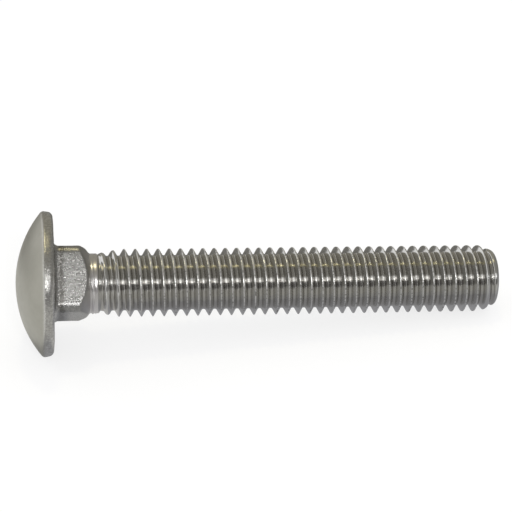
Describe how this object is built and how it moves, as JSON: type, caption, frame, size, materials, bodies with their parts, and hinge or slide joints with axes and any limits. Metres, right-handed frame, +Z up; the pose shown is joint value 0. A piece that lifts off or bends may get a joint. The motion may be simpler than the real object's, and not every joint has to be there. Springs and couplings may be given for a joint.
{
  "type": "carriage bolt",
  "caption": "Round-head square-neck bolt in stainless steel: shallow domed head, short square neck and a coarse right-hand thread along the whole shank.",
  "frame": {"origin": "centre of the bottom of the bounding box, on the surface that the bolt lies on", "axes": "+X along the bolt from its head to its end, +Z up. The bolt lies on its head's rim and on a crest near its end, so its own axis dips by about 5.0 degrees towards +X"},
  "size_m": [0.0682, 0.0202, 0.0202],
  "materials": {
    "steel": "tumbled satin head, grainy rim and neck, bright rolled thread"
  },
  "bodies": {
    "root": {"carriage_bolt": "steel"}
  },
  "joints": []
}
